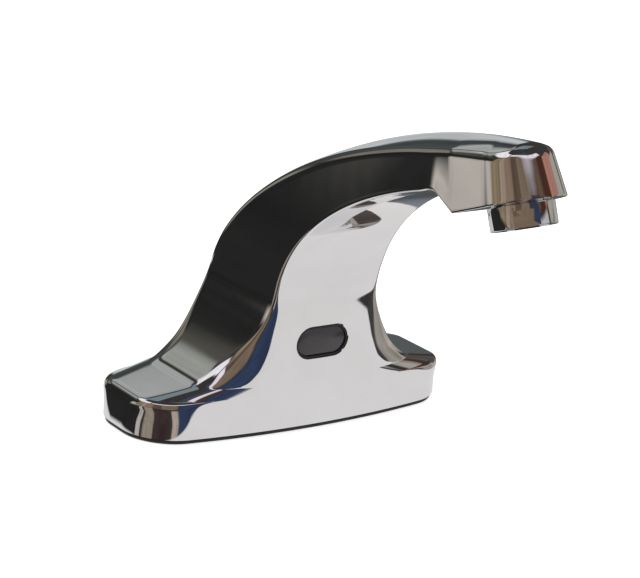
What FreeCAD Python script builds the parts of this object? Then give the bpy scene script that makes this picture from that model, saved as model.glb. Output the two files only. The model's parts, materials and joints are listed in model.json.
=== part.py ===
import FreeCAD, Part
import math
import os

# Deck-mounted sensor tap, millimetres. X runs along the base, the spout reaches towards -Y,
# +Z is up, and the origin is the middle of the base on the deck.
# "Ahead" below is the distance towards the spout's tip, so a point's Y is minus its ahead.

Vector = FreeCAD.Vector
doc = FreeCAD.newDocument("SensorTap")
sheet = doc.addObject("Spreadsheet::Sheet", "Sizes")

SIZES = {
    # base in plan, measured on the deck
    "base_length": 156.0,
    "base_front": 27.0,
    "base_back": 27.3,
    "front_bow": 8.1,
    "plan_radius": 18.6,
    # front view: end walls, sloping wings and the flare up to the neck
    "end_draft": 3.0,
    "wing_edge_height": 17.2,
    "wing_slope": 13.2,
    "wing_edge_radius": 5.0,
    "flare_start": 56.0,
    "flare_pull": 8.0,
    "neck_pull": 15.0,
    "neck_width": 52.0,
    "neck_height": 60.0,
    # spout: how far ahead the outlet is and how high the rear corner of the head
    "outlet_ahead": 137.8,
    "spout_height": 121.5,
    "outlet_tilt": 22.8,
    # side view: front of the neck and underside of the arm
    "front_knee_ahead": 28.1,
    "front_knee_height": 55.0,
    "front_knee_pull": 32.2,
    "arm_pull": 46.1,
    "arm_end_back": 20.4,
    "arm_end_rise": 2.8,
    "arm_end_slope": 17.4,
    "crest_run": 10.0,
    "crest_rise": 1.9,
    # head: underside from its rear corner, and the round nose about the outlet
    "head_corner_back": 14.8,
    "head_width": 39.6,
    "nose_radius": 17.2,
    "nose_top_radius": 14.2,
    "nose_edge_radius": 3.0,
    # side view: back of the neck and top of the arm
    "back_knee": 27.1,
    "back_knee_height": 44.8,
    "back_knee_pull": 56.4,
    "top_pull": 94.0,
    "top_end_ahead": 19.2,
    "head_rise": 30.4,
    "top_end_slope": 1.4,
    # crown and edge roundings
    "neck_crown": 0.5,
    "arm_crown": 5.6,
    "ridge_radius": 9.0,
    "arm_edge_radius": 1.5,
    "back_ridge_radius": 13.0,
    "neck_back_radius": 5.5,
    "arm_top_radius": 2.2,
    "wall": 3.2,
    # deck side: gasket, base plate, its screws and the bosses for the deck studs
    "gasket_thickness": 2.0,
    "gasket_inset": 0.8,
    "plate_thickness": 4.0,
    "plate_gap": 0.4,
    "stud_spacing": 101.6,
    "stud_hole_radius": 3.3,
    "stud_hole_depth": 12.0,
    "stud_boss_radius": 7.5,
    "stud_pass_radius": 6.5,
    "post_spacing": 72.0,
    "post_bite": 0.9,
    "post_height": 12.0,
    "plate_edge": 0.8,
    "screw_radius": 1.75,
    "screw_length": 10.0,
    "screw_head_radius": 3.4,
    "screw_head_height": 2.0,
    "screw_gap": 0.05,
    # water inlet
    "inlet_bore_radius": 7.6,
    "inlet_bore_depth": 12.0,
    "inlet_shank_radius": 9.4,
    "inlet_hex": 22.0,
    "inlet_hex_height": 8.0,
    "inlet_collar_radius": 7.6,
    "inlet_collar_height": 7.0,
    "tube_seat": 0.5,
    "inlet_gap": 0.1,
    "water_bore_radius": 3.6,
    "tube_nut_hex": 19.0,
    "tube_nut_height": 11.0,
    "tube_nut_thread": 4.9,
    "olive_height": 4.0,
    "olive_land": 0.6,
    # waterway tube and the sealed spigot in the head
    "tube_radius": 4.0,
    "tube_wall": 0.8,
    "tube_gap": 0.1,
    "tube_rise": 66.0,
    "tube_bend_radius": 34.0,
    "spigot_radius": 5.4,
    "spigot_floor": 0.4,
    "spigot_gap": 0.2,
    "spigot_length": 24.0,
    "spigot_socket": 10.0,
    "ring_section": 0.7,
    "ring_spacing": 5.0,
    "ring_first": 13.5,
    "groove_width": 1.9,
    # outlet and aerator
    "outlet_thread_radius": 11.6,
    "outlet_thread_depth": 9.0,
    "chamber_radius": 9.0,
    "chamber_depth": 19.0,
    "aerator_thread_gap": 0.08,
    "aerator_thread_length": 7.0,
    "aerator_radius": 12.5,
    "aerator_drop": 9.2,
    "aerator_face_gap": 0.3,
    "aerator_wall": 1.3,
    "aerator_lip": 2.0,
    "aerator_lip_width": 1.3,
    "flat_depth": 0.9,
    "flat_height": 6.2,
    "flat_turn": -34.0,
    "insert_gap": 0.15,
    "insert_wall": 1.6,
    "straightener_height": 3.4,
    "comb_flats": 2.1,
    "comb_web": 0.4,
    "regulator_height": 3.0,
    "regulator_hole": 1.6,
    "screen_thickness": 0.6,
    "screen_flats": 1.5,
    "washer_width": 2.7,
    "washer_gap": 0.3,
    # sensor window and the module behind it
    "window_height": 38.3,
    "window_length": 25.8,
    "window_width": 13.4,
    "seal_thickness": 0.8,
    "seal_gap": 0.1,
    "seal_recess": 0.6,
    "lens_gap": 0.1,
    "lens_recess": 1.1,
    "lens_thickness": 4.2,
    "module_length": 34.0,
    "module_height": 19.0,
    "module_depth": 10.5,
    "module_wall": 1.5,
    "module_gap": 0.9,
    "cover_thickness": 1.8,
    "board_thickness": 1.6,
    "board_gap": 0.4,
    "baffle_gap": 0.4,
    "diode_radius": 2.5,
    "diode_length": 6.0,
    "diode_spacing": 12.0,
    "baffle_thickness": 1.2,
    "clip_length": 50.0,
    "clip_width": 8.0,
    "clip_thickness": 1.2,
    "clip_post_radius": 3.5,
    "clip_screw_radius": 1.45,
    "clip_screw_length": 8.0,
    "clip_screw_head": 2.8,
    "clip_screw_head_height": 1.8,
    # cable exit
    "grommet_x": 26.0,
    "grommet_y": 4.0,
    "grommet_hole_radius": 6.0,
    "grommet_flange_radius": 8.0,
    "grommet_flange_height": 2.0,
    "grommet_bore_radius": 2.8,
    "grommet_gap": 0.1,
}

for row, (alias, number) in enumerate(SIZES.items(), start=1):
    sheet.set("A%d" % row, alias)
    sheet.set("B%d" % row, str(number))
    sheet.setAlias("B%d" % row, alias)
doc.recompute()


def size(alias):
    return float(sheet.get(alias))


def angle(alias):
    return math.radians(size(alias))


# ---- small geometry helpers ----

ARC_PULL = 0.5523     # control length of a quarter round as a share of its radius
UP = Vector(0, 0, 1)
FORWARD = Vector(0, -1, 0)


def at(ahead, height, across=0.0):
    return Vector(across, -ahead, height)


def smooth(value, low, high):
    share = min(max((value - low) / (high - low), 0.0), 1.0)
    return share * share * (3 - 2 * share)


def soft_least(first, second):
    # the smaller of two lengths, eased where they are about equal
    return (first ** -4 + second ** -4) ** -0.25


def find(gap, low, high, steps=50):
    # the place between low and high where gap changes sign
    rising = gap(low) > 0
    for _ in range(steps):
        middle = (low + high) / 2
        if (gap(middle) > 0) == rising:
            low = middle
        else:
            high = middle
    return (low + high) / 2


def curve(poles):
    bezier = Part.BezierCurve()
    bezier.setPoles(poles)
    return bezier


def side_curve(points):
    # side view curve: X holds the distance ahead, Y the height
    return curve([Vector(ahead, height, 0) for ahead, height in points])


# ---- side view of the casting ----

arm_slope = angle("arm_end_slope")
tilt = angle("outlet_tilt")
top_slope = angle("top_end_slope")
corner_ahead = size("outlet_ahead") - size("head_corner_back")
arm_end = (corner_ahead - size("arm_end_back"), size("spout_height") + size("arm_end_rise"))
top_end = (size("outlet_ahead") + size("top_end_ahead"), size("spout_height") + size("head_rise"))
knee_lean = (size("front_knee_ahead") - size("base_front")) / size("front_knee_height")

front_curve = side_curve([
    (size("front_knee_ahead"), size("front_knee_height")),
    (size("front_knee_ahead") + size("front_knee_pull") * knee_lean,
     size("front_knee_height") + size("front_knee_pull")),
    (arm_end[0] - size("arm_pull") * math.cos(arm_slope),
     arm_end[1] - size("arm_pull") * math.sin(arm_slope)),
    arm_end])

back_curve = side_curve([
    (-size("back_knee"), size("back_knee_height")),
    (-size("back_knee"), size("back_knee_height") + size("back_knee_pull")),
    (top_end[0] - size("top_pull") * math.cos(top_slope),
     top_end[1] - size("top_pull") * math.sin(top_slope)),
    top_end])


def front_at(height):
    # front wall: nearly upright to the knee, then the front curve
    if height < size("front_knee_height"):
        return size("base_front") + knee_lean * height
    return front_curve.value(find(lambda t: front_curve.value(t).y - height, 0, 1)).x


def back_at(height):
    if height < size("back_knee_height"):
        lean = (size("base_back") - size("back_knee")) / size("back_knee_height")
        return lean * height - size("base_back")
    return back_curve.value(find(lambda t: back_curve.value(t).y - height, 0, 1)).x


def head_floor(along):
    # underside of the head, "along" millimetres ahead of its rear corner
    return (corner_ahead + along * math.cos(tilt), size("spout_height") + along * math.sin(tilt))


outlet_along = size("head_corner_back") / math.cos(tilt)

# ---- stations: each is one closed cross-section of the casting ----
# (front ahead, front height, back ahead, back height, half width at the front, half width
#  at the back, bow of the front, crown of the back, front corner across and deep,
#  back corner across and deep)


def front_view():
    # right half of the front view from the gasket up: (half width, height, slope)
    half = size("base_length") / 2
    lean = math.tan(angle("end_draft"))
    wall_slope = math.pi / 2 - angle("end_draft")
    wing = angle("wing_slope")
    edge = (half - lean * size("wing_edge_height"), size("wing_edge_height"))
    radius = size("wing_edge_radius")
    reach = radius * math.tan((wall_slope - wing) / 2)
    low = (edge[0] + reach * math.cos(wall_slope), edge[1] - reach * math.sin(wall_slope))
    high = (edge[0] - reach * math.cos(wing), edge[1] + reach * math.sin(wing))
    centre = (low[0] - radius * math.sin(wall_slope), low[1] - radius * math.cos(wall_slope))
    start = size("gasket_thickness")
    points = []
    for share in (0.0, 0.45, 0.8, 1.0):
        height = start + (low[1] - start) * share
        points.append((half - lean * height, height, wall_slope))
    for share in (0.33, 0.67, 1.0):
        slope = wall_slope + (wing - wall_slope) * share
        points.append((centre[0] + radius * math.sin(slope),
                       centre[1] + radius * math.cos(slope), slope))
    flare = (size("flare_start"), edge[1] + (edge[0] - size("flare_start")) * math.tan(wing))
    for share in (0.35, 0.7, 1.0):
        points.append((high[0] + (flare[0] - high[0]) * share,
                       high[1] + (flare[1] - high[1]) * share, wing))
    neck = size("neck_width") / 2
    sweep = side_curve([
        flare,
        (flare[0] - size("flare_pull") * math.cos(wing),
         flare[1] + size("flare_pull") * math.sin(wing)),
        (neck, size("neck_height") - size("neck_pull")),
        (neck, size("neck_height"))])
    steps = 9
    for step in range(1, steps + 1):
        point = sweep.value(step / steps)
        run = sweep.tangent(step / steps)[0]
        points.append((point.x, point.y, math.atan2(run.y, -run.x)))
    return points


NECK_FADE = 20.0      # half-width gained while the neck's edges turn into the wings' ridges
FRONT_ROUND = (8.0, 24.0)     # heights over which the front ridge grows out of the wall
CORNER_SHARE = 0.55   # no corner takes more than this share of the half width
LEAST_SLOPE = 0.05


def base_station(half_width, height, slope):
    neck = size("neck_width") / 2
    wings = smooth(half_width, neck, neck + NECK_FADE)
    front = size("arm_edge_radius") + (size("ridge_radius") - size("arm_edge_radius")) * wings
    back = size("neck_back_radius") + (size("back_ridge_radius")
                                       - size("neck_back_radius")) * wings
    steep = max(math.sin(slope), LEAST_SLOPE)
    limit = CORNER_SHARE * half_width
    plan = size("plan_radius")
    front_share = smooth(height, *FRONT_ROUND)
    back_share = smooth(height, 0.0, FRONT_ROUND[1])
    bow = size("front_bow") * (2 * half_width / size("base_length")) ** 2
    return (front_at(height), height, back_at(height), height, half_width, half_width,
            bow, size("neck_crown") * (1 - wings),
            plan + (soft_least(front / steep, limit) - plan) * front_share,
            plan + (front - plan) * front_share,
            plan + (soft_least(back / steep, limit) - plan) * back_share,
            plan + (back - plan) * back_share)


def over(point, slope, low):
    # place on the back curve straight across from a point of the underside
    def gap(place):
        spot = back_curve.value(place)
        return (spot.x - point[0]) * math.cos(slope) + (spot.y - point[1]) * math.sin(slope)
    return find(gap, low, 1.0)


front_start = find(lambda t: front_curve.value(t).y - size("neck_height"), 0, 1)
back_start = find(lambda t: back_curve.value(t).y - size("neck_height"), 0, 1)
crest_end = (arm_end[0] + size("crest_run"), arm_end[1] + size("crest_rise"))
back_arm = over(arm_end, arm_slope, back_start)
back_crest = over(crest_end, (arm_slope + tilt) / 2, back_start)
back_corner = over(head_floor(0.0), tilt, back_start)
back_outlet = over(head_floor(outlet_along), tilt, back_start)


def arm_station(point, back, bow_share, front_radius):
    neck = size("neck_width") / 2
    head = size("head_width") / 2
    if back < back_corner:
        half = neck + (head - neck) * smooth(back, back_start, back_corner)
    else:
        half = head + (size("nose_radius") - head) * (
            (back - back_corner) / (back_outlet - back_corner))
    narrow = 1 - (1 - size("nose_top_radius") / size("nose_radius")) * smooth(
        back, back_start, back_corner)
    grown = smooth(back, back_start, back_arm)
    crown = size("neck_crown") + (size("arm_crown") - size("neck_crown")) * grown
    late = smooth(back, back_start + (back_arm - back_start) / 3, back_arm)
    top = size("neck_back_radius") + (size("arm_top_radius") - size("neck_back_radius")) * late
    bow = size("front_bow") * (2 * half / size("base_length")) ** 2 * bow_share
    spot = back_curve.value(back)
    return (point[0], point[1], spot.x, spot.y, half, half * narrow, bow, crown,
            front_radius, front_radius, top, top)


ARM_STEPS = 10
CREST_STEPS = 4
CREST_PULL = 3.5


def trunk_stations():
    stations = [base_station(*point) for point in front_view()]
    edge = size("arm_edge_radius")
    for step in range(1, ARM_STEPS + 1):
        share = step / ARM_STEPS
        point = front_curve.value(front_start + (1 - front_start) * share)
        back = back_start + (back_arm - back_start) * share
        stations.append(arm_station((point.x, point.y), back, 1 - share, edge))
    # the underside crests and then breaks down to the rear corner of the head
    corner = head_floor(0.0)
    drop = math.atan2(corner[1] - crest_end[1], corner[0] - crest_end[0])
    crest = side_curve([
        arm_end,
        (arm_end[0] + CREST_PULL * math.cos(arm_slope),
         arm_end[1] + CREST_PULL * math.sin(arm_slope)),
        (crest_end[0] - CREST_PULL * math.cos(drop), crest_end[1] - CREST_PULL * math.sin(drop)),
        crest_end])
    for step in range(1, CREST_STEPS + 1):
        share = step / CREST_STEPS
        point = crest.value(share)
        stations.append(arm_station((point.x, point.y),
                                    back_arm + (back_crest - back_arm) * share, 0, edge))
    stations.append(arm_station(corner, back_corner, 0, edge / 2))
    return stations


NOSE_TURNS = (16.0, 31.0, 45.0, 57.0, 68.0, 77.0, 84.0)


def head_stations():
    edge = size("arm_edge_radius") / 2
    stations = [arm_station(head_floor(0.0), back_corner, 0, edge),
                arm_station(head_floor(outlet_along / 2), (back_corner + back_outlet) / 2, 0, edge),
                arm_station(head_floor(outlet_along), back_outlet, 0, edge)]
    low, high, rim = size("nose_radius"), size("nose_top_radius"), size("nose_edge_radius")
    for turn in NOSE_TURNS:
        across, ahead = math.cos(math.radians(turn)), math.sin(math.radians(turn))
        floor = head_floor(outlet_along + low * ahead)
        place = over(head_floor(outlet_along + high * ahead), tilt, back_outlet)
        spot = back_curve.value(place)
        left = high * (1 - ahead)
        cut = rim - math.sqrt(rim ** 2 - max(rim - left, 0.0) ** 2)
        down = Vector(floor[0] - spot.x, floor[1] - spot.y, 0)
        spot = spot + down.normalize() * cut
        round_top = min(size("arm_top_radius"), high * across / 2)
        stations.append((floor[0], floor[1], spot.x, spot.y, low * across, high * across, 0,
                         size("arm_crown") * across ** 2, min(edge, low * across / 2), edge,
                         round_top, size("arm_top_radius")))
    return stations


def shrink(station, inset, slope=math.pi / 2):
    # the same section, one wall thickness inside
    ahead, height, back, back_height, half, half_back, bow, crown = station[:8]
    deep = math.hypot(back - ahead, back_height - height)
    step = ((back - ahead) / deep * inset, (back_height - height) / deep * inset)
    sink = inset * math.cos(slope)
    side = inset * math.sin(slope)
    corners = [max(corner - inset, inset / 2) for corner in station[8:]]
    return (ahead + step[0], height + step[1] - sink, back - step[0],
            back_height - step[1] - sink, half - side, half_back - side, bow, crown) + tuple(corners)


def section(station):
    # closed wire: bowed front, two corners, flat sides, two corners, crowned back
    (ahead, height, back, back_height, half, half_back, bow, crown,
     front_x, front_y, back_x, back_y) = station
    deep = math.hypot(back - ahead, back_height - height)
    run = ((back - ahead) / deep, (back_height - height) / deep)

    def place(spot):
        return at(ahead + spot[1] * run[0], height + spot[1] * run[1], spot[0])

    def mirror(spot):
        return (-spot[0], spot[1])

    def pull(spot, corner):
        return (spot[0] + ARC_PULL * (corner[0] - spot[0]), spot[1] + ARC_PULL * (corner[1] - spot[1]))

    near = half - front_x
    near_rise = 2 * bow * near / half ** 2
    front_end = (near, bow * (near / half) ** 2)
    front_corner = (half, front_end[1] + near_rise * front_x)
    far = half_back - back_x
    far_rise = 2 * crown * far / half_back ** 2
    back_end = (far, deep - crown * (far / half_back) ** 2)
    back_corner_point = (half_back, back_end[1] - far_rise * back_x)
    side = Vector(back_corner_point[0] - front_corner[0], back_corner_point[1] - front_corner[1], 0)
    side.normalize()
    side_low = (front_corner[0] + side.x * front_y, front_corner[1] + side.y * front_y)
    side_high = (back_corner_point[0] - side.x * back_y, back_corner_point[1] - side.y * back_y)
    right = [
        [front_end, pull(front_end, front_corner), pull(side_low, front_corner), side_low],
        [side_low, side_high],
        [side_high, pull(side_high, back_corner_point), pull(back_end, back_corner_point), back_end]]
    left = [[mirror(spot) for spot in reversed(poles)] for poles in reversed(right)]
    front = [mirror(front_end), (0.0, front_end[1] - near_rise * near), front_end]
    rear = [back_end, (0.0, back_end[1] + far_rise * far), mirror(back_end)]
    outline = [front] + right + [rear] + left
    return Part.Wire([curve([place(spot) for spot in poles]).toShape() for poles in outline])


def loft(stations):
    return Part.makeLoft([section(station) for station in stations], True, True)


# ---- document objects ----


def feature(name, shape):
    item = doc.addObject("Part::Feature", name)
    item.Shape = shape
    return item


def facing(direction):
    return FreeCAD.Rotation(UP, direction)


def cylinder(name, radius, height, base, direction=UP):
    item = doc.addObject("Part::Cylinder", name)
    item.setExpression("Radius", radius)
    item.setExpression("Height", height)
    item.Placement = FreeCAD.Placement(base, facing(direction))
    return item


def box(name, length, width, height, corner):
    item = doc.addObject("Part::Box", name)
    item.setExpression("Length", length)
    item.setExpression("Width", width)
    item.setExpression("Height", height)
    item.Placement = FreeCAD.Placement(corner, FreeCAD.Rotation())
    return item


def hexagon(name, across_flats, height, base):
    item = doc.addObject("Part::Prism", name)
    item.Polygon = 6
    item.setExpression("Circumradius", across_flats + " / sqrt(3)")
    item.setExpression("Height", height)
    item.Placement = FreeCAD.Placement(base, FreeCAD.Rotation())
    return item


def cut(name, base, tools):
    tool = tools[0]
    if len(tools) > 1:
        tool = doc.addObject("Part::MultiFuse", name + "_tools")
        tool.Shapes = tools
    item = doc.addObject("Part::Cut", name)
    item.Base = base
    item.Tool = tool
    return item


def fuse(name, shapes):
    item = doc.addObject("Part::MultiFuse", name)
    item.Shapes = shapes
    return item


def oblong(name, length, width, depth, centre):
    # upright slot with round ends, extruded backwards from its centre on the front face
    half = (length - width) / 2
    radius = width / 2
    points = [centre + Vector(-half, 0, radius), centre + Vector(half, 0, radius),
              centre + Vector(half + radius, 0, 0), centre + Vector(half, 0, -radius),
              centre + Vector(-half, 0, -radius), centre + Vector(-half - radius, 0, 0)]
    wire = Part.Wire([
        Part.LineSegment(points[0], points[1]).toShape(),
        Part.Arc(points[1], points[2], points[3]).toShape(),
        Part.LineSegment(points[3], points[4]).toShape(),
        Part.Arc(points[4], points[5], points[0]).toShape()])
    return feature(name, Part.Face(wire).extrude(FORWARD * -depth))


nodes = {}
OVERRUN = 1.0         # how far a cutting tool stands past the face it opens
PAST = " + %g" % OVERRUN
PAST_BOTH = " + %g" % (2 * OVERRUN)

deck_top = size("gasket_thickness")
plate_top = deck_top + size("plate_thickness")
stud_x = size("stud_spacing") / 2
post_x = size("post_spacing") / 2


def post_places():
    # four posts stand against the front and back walls
    inset = (size("wall") + size("plate_gap") + size("screw_head_radius")
             + size("plate_edge"))
    bowed = size("front_bow") * (2 * post_x / size("base_length")) ** 2
    ahead = size("base_front") - bowed - inset
    back = size("base_back") - inset
    return [(side * post_x, y) for side in (-1, 1) for y in (-ahead, back)]


post_radius = ("Sizes.plate_gap + Sizes.screw_head_radius + Sizes.plate_edge"
               " + Sizes.post_bite")

# ---- sensor window place, shared by the casting and the sensor module ----

window_height = size("window_height")
face_ahead = front_at(window_height)
inner_ahead = face_ahead - size("wall")
module_front = inner_ahead - size("module_gap")
module_back = module_front - size("module_depth")
cover_back = module_back - size("cover_thickness")
clip_post_x = size("clip_length") / 2 - size("clip_post_radius")

# ---- outlet frame: origin on the head's underside, axis pointing down and ahead ----

outlet_point = at(*head_floor(outlet_along))
outlet_down = Vector(0, -math.sin(tilt), -math.cos(tilt))
outlet_up = outlet_down * -1


outlet_frame = FreeCAD.Rotation(Vector(1, 0, 0), math.degrees(-tilt))


def outlet_at(depth):
    return outlet_point + outlet_up * depth


# ---- waterway route in the side view ----

TUBE_TURN = 0.8        # share of the arm where the tube turns towards the head


def arm_middle(share):
    # midway between the underside and the top of the arm
    low = front_curve.value(front_start + (1 - front_start) * share)
    high = back_curve.value(back_start + (back_arm - back_start) * share)
    return at((low.x + high.x) / 2, (low.y + high.y) / 2)


tube_start = plate_top + size("inlet_hex_height") + size("tube_seat")
tube_points = [at(0, tube_start),
               at(0, size("tube_rise")),
               arm_middle(TUBE_TURN)]
spigot_target = outlet_at(size("outlet_thread_depth") + size("spigot_floor")
                          + size("spigot_gap") + size("spigot_radius"))
spigot_run = (spigot_target - tube_points[-1]).normalize()
spigot_end = spigot_target - spigot_run * size("chamber_radius")
spigot_start = spigot_end - spigot_run * size("spigot_length")
tube_end = spigot_start + spigot_run * size("spigot_socket")
tube_points.append(tube_end)

# ---- spout body: hollow casting, base and arm in one ----

CAVITY_STEPS = 10     # arm stations before the solid head

trunk = trunk_stations()
slopes = [point[2] for point in front_view()]
hollow = [shrink(station, size("wall"), slope) for station, slope in zip(trunk, slopes)]
arm_hollow = trunk[len(slopes):len(slopes) + CAVITY_STEPS - 1]
hollow += [shrink(station, size("wall")) for station in arm_hollow]
mouth = list(shrink(trunk[0], size("wall")))
mouth[1] -= OVERRUN
mouth[3] -= OVERRUN
skin = fuse("casting_skin", [feature("trunk_skin", loft(trunk)),
                             feature("head_skin", loft(head_stations()))])
inner = hollow[:-1:2] + [hollow[-1]]
cavity = feature("cavity_skin", loft([tuple(mouth)] + inner))

supports = []
for index, side in enumerate((-1, 1)):
    supports.append(cylinder("stud_boss_%d" % index, "Sizes.stud_boss_radius",
                             "Sizes.neck_height", Vector(side * stud_x, 0, plate_top)))
    supports.append(cylinder("clip_post_%d" % index, "Sizes.clip_post_radius",
                             "Sizes.module_depth + Sizes.cover_thickness + Sizes.wall",
                             at(cover_back, window_height, side * clip_post_x), FORWARD))
for index, (x, y) in enumerate(post_places()):
    supports.append(cylinder("plate_post_%d" % index, post_radius, "Sizes.post_height",
                             Vector(x, y, plate_top)))
hollow_tool = cut("hollow_tool", cavity, supports)

openings = [
    oblong("window_opening", size("window_length"), size("window_width"),
           size("wall") + 2 * OVERRUN, at(face_ahead + OVERRUN, window_height)),
    cylinder("outlet_thread", "Sizes.outlet_thread_radius",
             "Sizes.outlet_thread_depth" + PAST, outlet_at(-OVERRUN), outlet_up),
    cylinder("outlet_chamber", "Sizes.chamber_radius", "Sizes.chamber_depth",
             outlet_point, outlet_up),
    cylinder("spigot_bore", "Sizes.spigot_radius + Sizes.spigot_gap",
             "Sizes.chamber_radius + Sizes.spigot_length + 2 * Sizes.spigot_socket",
             spigot_target, spigot_run * -1)]
for index, side in enumerate((-1, 1)):
    openings.append(cylinder("stud_hole_%d" % index, "Sizes.stud_hole_radius",
                             "Sizes.stud_hole_depth", Vector(side * stud_x, 0, plate_top)))
    openings.append(cylinder("clip_hole_%d" % index, "Sizes.clip_screw_radius + Sizes.screw_gap",
                             "Sizes.clip_screw_length", at(cover_back, window_height, side * clip_post_x),
                             FORWARD))
for index, (x, y) in enumerate(post_places()):
    openings.append(cylinder("post_hole_%d" % index, "Sizes.screw_radius + Sizes.screw_gap",
                             "Sizes.screw_length", Vector(x, y, plate_top)))
shell = cut("casting_shell", skin, [hollow_tool])
nodes["spout_body"] = cut("spout_body", shell, openings)

# ---- base gasket and base plate ----


def base_sheet(name, inset, base, thickness):
    station = list(shrink(trunk[0], inset))
    station[1] = base
    station[3] = base
    return feature(name, Part.Face(section(tuple(station))).extrude(UP * thickness))


gasket_blank = base_sheet("gasket_blank", size("gasket_inset"), 0.0, deck_top)
gasket_holes = [
    cylinder("gasket_inlet_hole", "Sizes.inlet_shank_radius + 4 * Sizes.plate_gap",
             "Sizes.gasket_thickness" + PAST_BOTH, Vector(0, 0, -OVERRUN)),
    cylinder("gasket_cable_hole", "Sizes.grommet_hole_radius + Sizes.plate_gap",
             "Sizes.gasket_thickness" + PAST_BOTH,
             Vector(size("grommet_x"), size("grommet_y"), -OVERRUN))]
plate_holes = [
    cylinder("plate_inlet_hole", "Sizes.inlet_shank_radius + Sizes.inlet_gap",
             "Sizes.plate_thickness" + PAST_BOTH, Vector(0, 0, deck_top - OVERRUN)),
    cylinder("plate_cable_hole", "Sizes.grommet_hole_radius", "Sizes.plate_thickness" + PAST_BOTH,
             Vector(size("grommet_x"), size("grommet_y"), deck_top - OVERRUN))]
for index, side in enumerate((-1, 1)):
    gasket_holes.append(cylinder("gasket_stud_hole_%d" % index, "Sizes.stud_pass_radius",
                                 "Sizes.gasket_thickness" + PAST_BOTH, Vector(side * stud_x, 0, -OVERRUN)))
    plate_holes.append(cylinder("plate_stud_hole_%d" % index, "Sizes.stud_pass_radius",
                                "Sizes.plate_thickness" + PAST_BOTH,
                                Vector(side * stud_x, 0, deck_top - OVERRUN)))
nodes["base_gasket"] = cut("base_gasket", gasket_blank, gasket_holes)


def countersunk(name, index, gap, x, y):
    # a screw, or with a gap round it the hole that takes it
    head = doc.addObject("Part::Cone", "%s_head_%d" % (name, index))
    head.setExpression("Radius1", "Sizes.screw_head_radius + " + gap)
    head.setExpression("Radius2", "Sizes.screw_radius + " + gap)
    head.setExpression("Height", "Sizes.screw_head_height")
    head.Placement = FreeCAD.Placement(Vector(x, y, deck_top), FreeCAD.Rotation())
    shank = cylinder("%s_shank_%d" % (name, index), "Sizes.screw_radius + " + gap,
                     "Sizes.screw_length - 1 + Sizes.plate_thickness", Vector(x, y, deck_top))
    return fuse("%s_%d" % (name, index), [head, shank])


screws = []
for index, (x, y) in enumerate(post_places()):
    plate_holes.append(countersunk("plate_sink", index, "Sizes.screw_gap", x, y))
    screws.append(countersunk("plate_screw", index, "0", x, y))
plate_blank = base_sheet("plate_blank", size("wall") + size("plate_gap"), deck_top,
                         size("plate_thickness"))
nodes["base_plate"] = cut("base_plate", plate_blank, plate_holes)
nodes["base_plate_screws"] = doc.addObject("Part::Compound", "base_plate_screws")
nodes["base_plate_screws"].Links = screws

# ---- inlet fitting, its nut and olive ----

hex_top = plate_top + size("inlet_hex_height")
collar_top = hex_top + size("inlet_collar_height")
fitting = fuse("fitting_solid", [
    cylinder("fitting_shank", "Sizes.inlet_shank_radius",
             "Sizes.gasket_thickness + Sizes.plate_thickness", Vector(0, 0, 0)),
    hexagon("fitting_hex", "Sizes.inlet_hex", "Sizes.inlet_hex_height", Vector(0, 0, plate_top)),
    cylinder("fitting_collar", "Sizes.inlet_collar_radius", "Sizes.inlet_collar_height",
             Vector(0, 0, hex_top))])
nodes["inlet_fitting"] = cut("inlet_fitting", fitting, [
    cylinder("fitting_thread", "Sizes.inlet_bore_radius", "Sizes.inlet_bore_depth",
             Vector(0, 0, 0)),
    cylinder("fitting_bore", "Sizes.water_bore_radius",
             "Sizes.gasket_thickness + Sizes.plate_thickness + Sizes.inlet_hex_height"
             " + Sizes.tube_seat", Vector(0, 0, 0)),
    cylinder("fitting_socket", "Sizes.tube_radius + Sizes.tube_gap",
             "Sizes.inlet_collar_height" + PAST, Vector(0, 0, tube_start))])
olive_blank = doc.addObject("Part::Cone", "olive_blank")
olive_blank.setExpression("Radius1", "Sizes.inlet_collar_radius - Sizes.olive_land")
olive_blank.setExpression("Radius2", "Sizes.tube_radius + Sizes.olive_land")
olive_blank.setExpression("Height", "Sizes.olive_height")
olive_blank.Placement = FreeCAD.Placement(Vector(0, 0, collar_top), FreeCAD.Rotation())
nodes["tube_olive"] = cut("tube_olive", olive_blank, [
    cylinder("olive_bore", "Sizes.tube_radius + Sizes.tube_gap", "Sizes.olive_height",
             Vector(0, 0, collar_top))])
nut_base = collar_top - size("tube_nut_thread")
nut_blank = hexagon("nut_blank", "Sizes.tube_nut_hex", "Sizes.tube_nut_height",
                    Vector(0, 0, nut_base))
nodes["tube_nut"] = cut("tube_nut", nut_blank, [
    cylinder("nut_thread", "Sizes.inlet_collar_radius + Sizes.inlet_gap",
             "Sizes.tube_nut_thread + Sizes.olive_height",
             Vector(0, 0, nut_base)),
    cylinder("nut_bore", "Sizes.tube_radius + Sizes.tube_gap", "Sizes.tube_nut_height",
             Vector(0, 0, nut_base))])

# ---- waterway tube, spigot and its two sealing rings ----


def rounded_route(points, radius):
    # straight runs joined by tangent arcs
    edges = []
    start = points[0]
    for before, corner, after in zip(points, points[1:], points[2:]):
        way_in = (corner - before).normalize()
        way_out = (after - corner).normalize()
        reach = radius * math.tan(way_in.getAngle(way_out) / 2)
        reach = min(reach, (corner - before).Length * 0.45, (after - corner).Length * 0.45)
        bend = reach / math.tan(way_in.getAngle(way_out) / 2)
        entry = corner - way_in * reach
        leave = corner + way_out * reach
        inward = (way_out - way_in).normalize()
        centre = corner + inward * math.hypot(reach, bend)
        middle = centre - inward * bend
        edges.append(Part.LineSegment(start, entry).toShape())
        edges.append(Part.Arc(entry, middle, leave).toShape())
        start = leave
    edges.append(Part.LineSegment(start, points[-1]).toShape())
    return Part.Wire(edges)


def tube(route, start, direction, radius):
    ring = Part.Wire([Part.Circle(start, direction, radius).toShape()])
    return route.makePipeShell([ring], True, False)


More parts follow.
